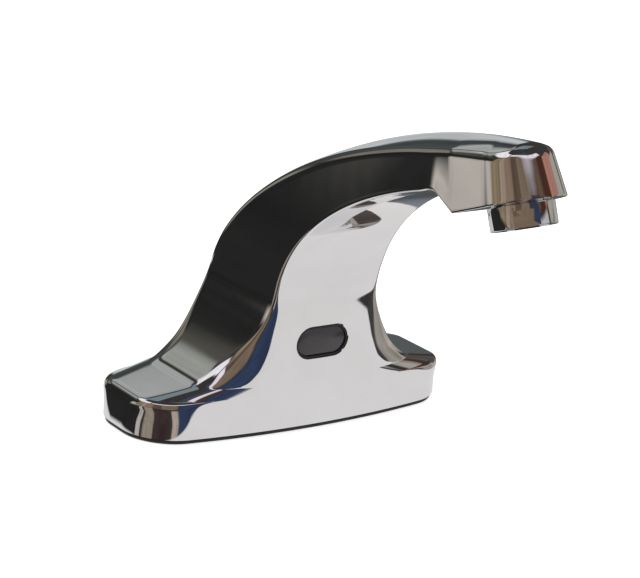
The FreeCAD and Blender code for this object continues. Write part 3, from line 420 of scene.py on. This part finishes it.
def lathe(name, profile, origin, axis, count=128, hollow=False):
    # profile points (radius, distance along axis), turned about the axis;
    # a hollow one is a collar whose last ring joins the first
    axis = np.asarray(axis, float)
    sideways = np.array([1.0, 0.0, 0.0])
    other = np.cross(axis, sideways)
    turn = np.linspace(0, 2 * math.pi, count, endpoint=False)
    circle = np.outer(np.cos(turn), sideways) + np.outer(np.sin(turn), other)
    profile = np.asarray(profile, float)
    points = (origin + profile[:, None, 1:] * axis + profile[:, None, :1] * circle).reshape(-1, 3)
    rows = len(profile)
    faces = strip(rows, count)
    faces += (rejoin if hollow else ends)(rows, count)
    piece = meshFrom(name, points, faces)
    fixNormals(piece)
    return piece


def makeSpout():
    outside = np.vstack([trunkStations(), headStations()])
    ring = rings(outside)
    rim = rings(shrink(outside[0], cast["wall"])[None])[0]
    ceiling = rim.copy()
    ceiling[:, 2] = cast["gasket"] + cast["plate"] + cast["plateGap"]
    stack = np.vstack([ceiling[None], rim[None], ring])
    count = stack.shape[1]
    faces = strip(len(stack), count) + ends(len(stack), count)
    piece = meshFrom("spoutBody", stack.reshape(-1, 3), faces)
    fixNormals(piece)
    wide = 2 * window["chamfer"]
    flared = wide + window["cutFlare"]
    tools = [slotSolid("windowTool", [
        (faceAhead + window["cutAhead"], window["length"] + flared, window["width"] + flared),
        (faceAhead + window["cutFace"], window["length"] + wide, window["width"] + wide),
        (faceAhead - window["chamfer"], window["length"], window["width"]),
        (faceAhead - window["depth"], window["length"], window["width"])])]
    tools.append(lathe("outletTool", [
        (outlet["thread"] + outlet["chamfer"], outlet["cutAhead"]),
        (outlet["thread"] + outlet["chamfer"], 0.0), (outlet["thread"], -outlet["chamfer"]),
        (outlet["thread"], -outlet["threadDepth"]), (outlet["chamber"], -outlet["threadDepth"]),
        (outlet["chamber"], -outlet["chamberDepth"])], outletPoint, outletAxis))
    top = cast["gasket"] + cast["plate"] + studs["depth"]
    for side in (-1, 1):
        tools.append(lathe("studTool", [
            (studs["radius"], top), (studs["radius"], studs["cutLow"] + studs["chamfer"]),
            (studs["radius"] + studs["chamfer"], studs["cutLow"])],
            np.array([side * studs["spacing"] / 2, 0.0, 0.0]), (0, 0, 1), count=48))
    subtract(piece, tools)
    sharpen(piece, 30)
    return piece


spoutBody = makeSpout()
print("spout body", len(spoutBody.data.polygons))


# The gasket: the base's outline with rounded rubber edges; holes are (x, y, radius).
gasket = dict(inset=0.8, soft=0.35, reach=5.0,
              holes=[(0.0, 0.0, 11.0), (26.0, 4.0, 6.4), (-50.8, 0.0, 6.5), (50.8, 0.0, 6.5)])


def makeGasket():
    station = trunkStations()[0]
    inset, thick, soft = gasket["inset"], cast["gasket"], gasket["soft"]
    levels = [(inset + soft, 0.0), (inset + soft / 3, soft / 3), (inset, soft),
              (inset, thick - soft), (inset + soft / 3, thick - soft / 3), (inset + soft, thick)]
    outlines = []
    for sink, height in levels:
        outline = rings(shrink(station, sink)[None])[0]
        outline[:, 2] = height
        outlines.append(outline)
    count = len(outlines[0])
    faces = strip(len(outlines), count) + ends(len(outlines), count)
    piece = meshFrom("baseGasket", np.vstack(outlines), faces, smoothBelow=60.0)
    fixNormals(piece)
    reach = gasket["reach"]
    subtract(piece, [lathe("gasketTool", [(radius, reach), (radius, -reach)],
                           np.array([x, y, 0.0]), (0, 0, 1), count=64)
                     for x, y, radius in gasket["holes"]])
    sharpen(piece, 50)
    return piece


baseGasket = makeGasket()


# The sensor window: black rim and smoked lens, both with eased front edges.
def makeSeal():
    length = window["length"] - 2 * window["sealGap"]
    width = window["width"] - 2 * window["sealGap"]
    front, back = faceAhead - window["sealRecess"], faceAhead - window["sealDepth"]
    wide, soft = 2 * window["sealThickness"], window["sealSoft"]
    ease = window["ease"] * soft
    return slotSolid("sensorSeal", [
        (back, length, width), (front - soft, length, width),
        (front - ease, length - 2 * ease, width - 2 * ease),
        (front, length - 2 * soft, width - 2 * soft),
        (front, length - wide + 2 * soft, width - wide + 2 * soft),
        (front - ease, length - wide + 2 * ease, width - wide + 2 * ease),
        (front - soft, length - wide, width - wide), (back, length - wide, width - wide)],
        hollow=True)


def makeLens():
    rim = 2 * (window["sealGap"] + window["sealThickness"] + window["lensGap"])
    length, width = window["length"] - rim, window["width"] - rim
    front = faceAhead - window["lensRecess"]
    soft = window["lensSoft"]
    ease = window["ease"] * soft
    return slotSolid("sensorLens", [
        (front - window["lensThickness"], length, width), (front - soft, length, width),
        (front - ease, length - 2 * ease, width - 2 * ease),
        (front, length - 2 * soft, width - 2 * soft)])


sensorSeal = makeSeal()
sensorLens = makeLens()


# The aerator housing: a turned collar with an inner lip and two spanner flats.
aerator = dict(radius=12.5, drop=9.2, gap=0.3, threadGap=0.08, thread=7.0, wall=1.3,
               lip=2.0, lipWidth=1.3, flatDepth=0.9, flatHeight=6.2, flatTurn=-34.0,
               pitch=0.94, threadDepth=0.5, threadStart=0.4, relief=0.5, mouthChamfer=0.3,
               cutBelow=1.0, edge=0.45)


def makeHousing():
    top, low = -aerator["gap"], -aerator["drop"]
    major = outlet["thread"] - aerator["threadGap"]
    bore = major - aerator["wall"]
    mouth = outlet["thread"] - aerator["wall"] - aerator["lipWidth"]
    radius, edge = aerator["radius"], aerator["edge"]
    quarter = np.linspace(0, math.pi / 2, 6)
    lower = np.stack([radius - edge + edge * np.sin(quarter),
                      -low - edge + edge * np.cos(quarter)], -1)
    upper = np.stack([radius - edge + edge * np.cos(quarter),
                      -top + edge - edge * np.sin(quarter)], -1)
    # ridges along the shank, one pitch apart, stand in for the thread
    count = int(aerator["thread"] / aerator["pitch"])
    along = -np.arange(2 * count) * aerator["pitch"] / 2 - aerator["threadStart"]
    ridges = np.where(np.arange(2 * count) % 2 == 0, major - aerator["threadDepth"], major)
    shank = np.stack([ridges, along], -1)
    chamfer, root = aerator["mouthChamfer"], major - aerator["relief"]
    profile = np.vstack([
        [(mouth, -low - chamfer), (mouth + chamfer, -low)], lower, upper, [(root, -top)], shank,
        [(root, -aerator["thread"]), (bore, -aerator["thread"]),
         (bore, -low - aerator["lip"]), (mouth, -low - aerator["lip"])]])
    piece = lathe("aeratorHousing", profile, outletPoint, outletAxis, count=160, hollow=True)
    turn = math.radians(aerator["flatTurn"])
    frameTurn = Matrix.Rotation(-tilt, 3, "X") @ Matrix.Rotation(turn, 3, "Z")
    start = radius - aerator["flatDepth"]
    base = -aerator["drop"] - aerator["cutBelow"]
    ceiling = base + aerator["cutBelow"] + aerator["flatHeight"]
    faces = [(0, 2, 3, 1), (4, 5, 7, 6), (0, 1, 5, 4), (2, 6, 7, 3), (0, 4, 6, 2), (1, 3, 7, 5)]
    cutters = []
    for near, far in ((-start - radius, -start), (start, start + radius)):
        local = [(x, y, z) for z in (base, ceiling) for y in (near, far) for x in (-radius, radius)]
        points = [np.array(frameTurn @ Vector(p)) + outletPoint for p in local]
        cutters.append(meshFrom("flatTool", points, faces))
    subtract(piece, cutters)
    sharpen(piece, 28)
    return piece


aeratorHousing = makeHousing()
print("small pieces done")


# Materials: each slot is named for the real material and how it was made.
def linear(code):
    # "#rrggbb" sRGB to linear: c/12.92 below 0.04045, else ((c + 0.055) / 1.055)^2.4
    values = [int(code[k:k + 2], 16) / 255 for k in (1, 3, 5)]
    light = [c / 12.92 if c <= 0.04045 else ((c + 0.055) / 1.055) ** 2.4 for c in values]
    return (*light, 1.0)


def addNode(tree, kind, settings=None, links=None):
    # one node: settings are its properties or free inputs, links feed inputs from other nodes
    node = tree.nodes.new("ShaderNode" + kind)
    for key, value in (settings or {}).items():
        if isinstance(key, int) or key in node.inputs:
            node.inputs[key].default_value = value
        else:
            setattr(node, key, value)
    for key, source in (links or {}).items():
        tree.links.new(source, node.inputs[key])
    return node


def perSize(millimetres):
    # noise scale whose features are this large on coordinates in metres
    return 1000.0 / millimetres


def surface(name, dark, light, shadeSize, rough, roughSize, reliefSize, relief,
            metallic=0.0, coat=0.0, ior=None, stretch=(1.0, 1.0, 1.0)):
    # mottled between two close colours, with its own roughness range and fine relief
    material = bpy.data.materials.new(name)
    material.use_nodes = True
    tree = material.node_tree
    shader = tree.nodes["Principled BSDF"]
    shader.inputs["Metallic"].default_value = metallic
    shader.inputs["Coat Weight"].default_value = coat
    if ior:
        shader.inputs["IOR"].default_value = ior
    spot = addNode(tree, "TexCoord").outputs["Object"]
    along = addNode(tree, "Mapping", {"Scale": stretch}, {"Vector": spot}).outputs[0]
    shade = addNode(tree, "TexNoise", {"Scale": perSize(shadeSize)}, {"Vector": spot}).outputs[0]
    mixed = addNode(tree, "Mix", {
        "data_type": "RGBA", 6: linear(dark), 7: linear(light)}, {0: shade})
    tree.links.new(mixed.outputs[2], shader.inputs["Base Color"])
    grain = addNode(tree, "TexNoise", {
        "Scale": perSize(roughSize), "Detail": 5.0}, {"Vector": along})
    gloss = addNode(tree, "MapRange", {"From Min": 0.3, "From Max": 0.7, "To Min": rough[0],
                                       "To Max": rough[1]}, {"Value": grain.outputs[0]})
    tree.links.new(gloss.outputs[0], shader.inputs["Roughness"])
    bumps = addNode(tree, "TexNoise", {"Scale": perSize(reliefSize)}, {"Vector": along}).outputs[0]
    normal = addNode(tree, "Bump", {"Distance": relief * mm, "Strength": 1.0}, {"Height": bumps})
    tree.links.new(normal.outputs[0], shader.inputs["Normal"])
    return material


finishes = {
    # chrome over polished cast brass: a mirror with slow hand-polished waves 30 mm long
    "chrome_plate": surface("chromePlatePolishedCasting", "#e2e3e6", "#eaebed", 12.0,
                            (0.015, 0.05), 3.0, 30.0, 0.05, metallic=1.0),
    # moulded rubber: soft black with a dusty bloom and a fine sparked grain
    "black_rubber": surface("nitrileRubberMoulded", "#141414", "#242322", 3.0,
                            (0.5, 0.75), 1.5, 0.8, 0.05),
    # turned brass: warm metal with fine tool rings across its axis
    "brass": surface("brassTurned", "#a98242", "#c9a45c", 4.0, (0.2, 0.34), 1.0, 1.0, 0.03,
                     metallic=1.0, stretch=(1.0, 1.0, 8.0)),
    # stamped stainless steel: grey with a rolled grain along its length
    "steel": surface("stainlessSteelStamped", "#8d8f92", "#b9bbbd", 4.0,
                     (0.24, 0.38), 1.0, 1.0, 0.02, metallic=1.0, stretch=(0.2, 1.0, 1.0)),
    # drawn copper tube: warm, with long drawing lines
    "copper": surface("copperDrawn", "#a5613c", "#c67f55", 5.0, (0.2, 0.32), 1.0, 1.0, 0.02,
                      metallic=1.0, stretch=(1.0, 1.0, 0.2)),
    # moulded acetal: an even, slightly waxy mid grey
    "grey_plastic": surface("greyAcetalMoulded", "#5c5e62", "#707277", 2.0,
                            (0.35, 0.5), 0.8, 0.5, 0.03),
    # the same in green, as flow regulators are colour coded
    "green_plastic": surface("greenAcetalMoulded", "#2c6b4c", "#3a7f5c", 2.0,
                             (0.35, 0.5), 0.8, 0.5, 0.03),
    # moulded ABS: black with a soft satin sheen
    "black_plastic": surface("blackAbsMoulded", "#0e0e0f", "#19191a", 2.0,
                             (0.3, 0.42), 0.8, 0.5, 0.02),
    # smoked acrylic that lets only infrared through: a flat dark grey with a polished face
    "smoked_acrylic": surface("smokedAcrylicPolished", "#353236", "#3d393d", 6.0,
                              (0.12, 0.22), 2.0, 8.0, 0.01, ior=1.49),
    # laminate under solder mask: deep green with a wet-looking lacquer
    "circuit_board": surface("solderMaskedLaminate", "#0b3d20", "#12552d", 1.5,
                             (0.28, 0.4), 0.6, 0.6, 0.03, coat=0.4),
    # cast epoxy lenses: glassy, the emitter pale and the receiver nearly black
    "clear_epoxy": surface("clearEpoxyCast", "#aeb9c6", "#c6d0dc", 1.5,
                           (0.06, 0.14), 1.0, 1.5, 0.01),
    "dark_epoxy": surface("darkEpoxyCast", "#141018", "#201a26", 1.5,
                          (0.06, 0.14), 1.0, 1.5, 0.01),
}
slotOf = {part["node"]: part["material_slot"] for part in frame["record"]["subparts"]}
for node, item in frame["nodes"].items():
    for place in item.material_slots:
        place.material = finishes[slotOf[node]]

bodies = frame["record"]["behaviour"]["bodies"]
bodyOf = {node: body for body, nodes in bodies.items() for node in nodes}
for piece, node in [(spoutBody, "spout_body"), (baseGasket, "base_gasket"),
                    (sensorSeal, "sensor_seal"), (sensorLens, "sensor_lens"),
                    (aeratorHousing, "aerator_housing")]:
    piece.data.materials.clear()
    piece.data.materials.append(finishes[slotOf[node]])
    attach(piece, bodyOf[node])
    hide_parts(node)
print("materials done")


# The studio: the chrome shows a white sheet on the table and a dim room around it.
scene = bpy.context.scene
world = bpy.data.worlds.new("studio")
scene.world = world
world.use_nodes = True
sky = world.node_tree
direction = addNode(sky, "TexCoord").outputs["Generated"]
flat = addNode(sky, "VectorMath", {"operation": "MULTIPLY", 1: (1.0, 1.0, 0.0)}, {0: direction})
heading = addNode(sky, "VectorMath", {"operation": "NORMALIZE"}, {0: flat.outputs[0]}).outputs[0]
climb = addNode(sky, "SeparateXYZ", {}, {0: direction}).outputs[2]


def addPatch(below, color, azimuth, reach, low, high, soft):
    # a lit or dark area of the room: azimuth and reach either side in degrees (0 is -Y,
    # 90 is +X), low and high are elevations; edges fade over soft degrees
    middle, half = math.radians(azimuth), math.radians(reach)
    fade = math.radians(soft)
    toward = addNode(sky, "VectorMath", {
        "operation": "DOT_PRODUCT", 1: (math.sin(middle), -math.cos(middle), 0.0)},
        {0: heading}).outputs["Value"]
    side = addNode(sky, "MapRange", {
        "interpolation_type": "SMOOTHSTEP", "From Min": math.cos(min(half + fade / 2, math.pi)),
        "From Max": math.cos(max(half - fade / 2, 0.0))}, {"Value": toward}).outputs[0]
    bottom, top = math.radians(low), math.radians(high)
    rise = addNode(sky, "MapRange", {
        "interpolation_type": "SMOOTHSTEP", "From Min": math.sin(bottom - fade / 2),
        "From Max": math.sin(bottom + fade / 2)}, {"Value": climb}).outputs[0]
    fall = addNode(sky, "MapRange", {
        "interpolation_type": "SMOOTHSTEP", "From Min": math.sin(top + fade / 2),
        "From Max": math.sin(top - fade / 2)}, {"Value": climb}).outputs[0]
    first = addNode(sky, "Math", {"operation": "MULTIPLY"}, {0: side, 1: rise}).outputs[0]
    share = addNode(sky, "Math", {"operation": "MULTIPLY"}, {0: first, 1: fall}).outputs[0]
    return addNode(sky, "Mix", {"data_type": "RGBA", 7: linear(color)},
                   {0: share, 6: below}).outputs[2]


room = addNode(sky, "RGB").outputs[0]
room.default_value = linear("#3b3936")
patches = [
    # (color, azimuth, reach, low, high, soft)
    ("#7b7f88", 150, 48, -62, -30, 8),      # grey-blue wall foot on the right
    ("#262725", -140, 42, -88, 29, 5),      # dark floor and furniture on the left
    ("#4e4c46", -155, 10, 30, 37, 5),
    ("#a3a59d", -167, 8, 33, 42, 4),
    ("#8d8a80", -174, 9, -6, 13, 5),
    ("#867e72", -167, 8, 17, 29, 5),
    ("#b9b1a8", -127, 9, -3, 15, 11),       # sunlit shelf
    ("#8a7a60", -110, 10, -8, 36, 6),       # wooden cabinets beside the camera
    ("#a3907f", -91, 7, -8, 36, 5),
    ("#887363", -74, 10, -8, 42, 6),
    ("#5f5042", -55, 9, -8, 42, 6),
    ("#7c6a59", -30, 15, -8, 42, 6),
    ("#523d2f", 2, 12, 30, 42, 6),
    ("#665041", 21, 8, 24, 42, 6),
    ("#4e2f24", 41, 10, 18, 42, 5),
    ("#ab7a6a", 68, 16, 19, 36, 5),         # red-brown wood on the right
    ("#a7a29a", 80, 18, 3, 19, 5),
    ("#5d544f", 110, 12, 8, 26, 6),
    ("#b5b0a9", -98, 5, -50, -10, 2),       # chair legs low on the left
    ("#9a8e7f", -76, 11, -50, -10, 4),
    ("#3e3230", -47, 15, -50, -10, 4),
    ("#b3a196", -17, 8, -50, -16, 4),
    ("#34405a", 5, 17, -45, 30, 5),         # blue cloth ahead
    ("#c4c0bd", 36, 18, -14, 18, 6),
    ("#434143", 57, 6, -28, -6, 4),         # dark gap, then pale timber
    ("#999388", 78, 14, -28, 3, 5),
    ("#b2aba0", 104, 14, -28, 4, 5),
    ("#565b5a", 131, 12, -28, 8, 5),
    ("#c4c6c7", 148, 8, -12, 23, 5),        # white wall behind
    ("#454a4a", 170, 15, 12, 30, 6),
    ("#b0b2af", 166, 13, 31, 40, 4),
    ("#f8f4f6", -128, 46, 40, 58, 4),       # high windows
    ("#f4e8ef", -8, 68, 43, 54, 4),
    ("#3c4959", -25, 36, 56, 68, 5),
    ("#7f8c8f", 150, 34, 46, 74, 6),
]
for patch in patches:
    room = addPatch(room, *patch)

# shelves, folds and clutter: noise makes the room's tones waver by a quarter
clutter = addNode(sky, "TexNoise", {"Scale": 5.0, "Detail": 5.0, "Roughness": 0.6},
                  {"Vector": direction}).outputs[0]
waver = addNode(sky, "MapRange", {"From Min": 0.3, "From Max": 0.7, "To Min": 0.74, "To Max": 1.26},
                {"Value": clutter}).outputs[0]
room = addNode(sky, "VectorMath", {"operation": "SCALE"}, {0: room, "Scale": waver}).outputs[0]

mirrored = addNode(sky, "LightPath").outputs["Is Glossy Ray"]
seen = addNode(sky, "Mix", {"data_type": "RGBA", 6: linear("#ffffff")},
               {0: mirrored, 7: room}).outputs[2]
background = sky.nodes["Background"]
sky.links.new(seen, background.inputs["Color"])
background.inputs["Strength"].default_value = 1.0

# The floor: a white sheet, in metres; beyond its edges the chrome shows the room instead.
# It lies askew: inside left < x < right, y < rear and slant * x + y > -corner.
sheetEdges = dict(left=-0.0835, right=0.121, rear=0.3, slant=1.43, corner=0.1235, fade=0.003)
floorSize = dict(side=1.6, height=-0.0002, fibre=90.0, glow=0.55)


def makeFloor():
    mesh = bpy.data.meshes.new("floor")
    side, height = floorSize["side"], floorSize["height"]
    mesh.from_pydata([(-side, -side, height), (side, -side, height), (side, side, height),
                      (-side, side, height)], [], [(0, 1, 2, 3)])
    floor = bpy.data.objects.new("floor", mesh)
    scene.collection.objects.link(floor)
    material = bpy.data.materials.new("whitePaperSheet")
    material.use_nodes = True
    tree = material.node_tree
    tree.nodes.clear()
    spot = addNode(tree, "TexCoord").outputs["Object"]
    split = addNode(tree, "SeparateXYZ", {}, {0: spot})
    fade = sheetEdges["fade"]
    along = addNode(tree, "VectorMath", {
        "operation": "DOT_PRODUCT", 1: (sheetEdges["slant"], 1.0, 0.0)},
        {0: spot}).outputs["Value"]
    onSheet = None
    for value, edge, sign in ((split.outputs[0], sheetEdges["left"], 1),
                              (split.outputs[0], sheetEdges["right"], -1),
                              (split.outputs[1], sheetEdges["rear"], -1),
                              (along, -sheetEdges["corner"], 1)):
        share = addNode(tree, "MapRange", {"From Min": edge - sign * fade, "From Max": edge},
                        {"Value": value}).outputs[0]
        if onSheet is not None:
            share = addNode(tree, "Math", {"operation": "MULTIPLY"},
                            {0: onSheet, 1: share}).outputs[0]
        onSheet = share
    fibre = addNode(tree, "TexNoise", {"Scale": perSize(floorSize["fibre"])},
                    {"Vector": spot}).outputs[0]
    paper = addNode(tree, "Mix", {
        "data_type": "RGBA", 6: linear("#dfd8d5"), 7: linear("#ecebea")}, {0: fibre}).outputs[2]
    sheetLook = addNode(tree, "Emission", {"Strength": 1.0}, {"Color": paper})
    clear = addNode(tree, "BsdfTransparent")
    mirrorLook = addNode(tree, "MixShader", {}, {0: onSheet, 1: clear.outputs[0],
                                                 2: sheetLook.outputs[0]})
    diffuse = addNode(tree, "BsdfDiffuse", {"Color": linear("#f2f2f2")})
    glow = addNode(tree, "Emission", {"Color": linear("#ffffff"), "Strength": floorSize["glow"]})
    lit = addNode(tree, "AddShader", {}, {0: diffuse.outputs[0], 1: glow.outputs[0]})
    path = addNode(tree, "LightPath")
    plain = addNode(tree, "MixShader", {}, {0: path.outputs["Is Camera Ray"], 1: diffuse.outputs[0],
                                            2: lit.outputs[0]})
    look = addNode(tree, "MixShader", {}, {0: path.outputs["Is Glossy Ray"], 1: plain.outputs[0],
                                           2: mirrorLook.outputs[0]})
    # seen from below the sheet is clear, so that the gasket and the inlet can be looked at
    under = addNode(tree, "NewGeometry").outputs["Backfacing"]
    either = addNode(tree, "MixShader", {}, {0: under, 1: look.outputs[0], 2: clear.outputs[0]})
    addNode(tree, "OutputMaterial", {}, {"Surface": either.outputs[0]})
    mesh.materials.append(material)
    return floor


makeFloor()
print("studio ready")

# The camera, from the photograph's perspective: angles in degrees, lengths in metres.
view = dict(turn=36.334, rise=17.678, roll=4.899, distance=0.9536, target=(0.0, 0.0, 0.05),
            focalPixels=2274.46, width=640, height=578, targetX=286.92, targetY=294.88,
            sensor=36.0, nearest=0.01)
turn, rise, roll = (math.radians(view[key]) for key in ("turn", "rise", "roll"))
back = Vector((-math.sin(turn) * math.cos(rise), -math.cos(turn) * math.cos(rise),
               math.sin(rise)))
right = Vector((math.cos(turn), -math.sin(turn), 0.0))
up = back.cross(right)
camRight = right * math.cos(roll) + up * math.sin(roll)
camUp = up * math.cos(roll) - right * math.sin(roll)
place = Matrix((camRight, camUp, back)).transposed().to_4x4()
place.translation = Vector(view["target"]) + back * view["distance"]
camera = bpy.data.objects.new("camera", bpy.data.cameras.new("camera"))
camera.matrix_world = place
camera.data.sensor_width = view["sensor"]
camera.data.lens = view["focalPixels"] / view["width"] * view["sensor"]
camera.data.shift_x = (view["width"] / 2 - view["targetX"]) / view["width"]
camera.data.shift_y = (view["targetY"] - view["height"] / 2) / view["width"]
camera.data.clip_start = view["nearest"]
scene.collection.objects.link(camera)
scene.camera = camera
scene.view_settings.view_transform = "Standard"
print("camera ready")
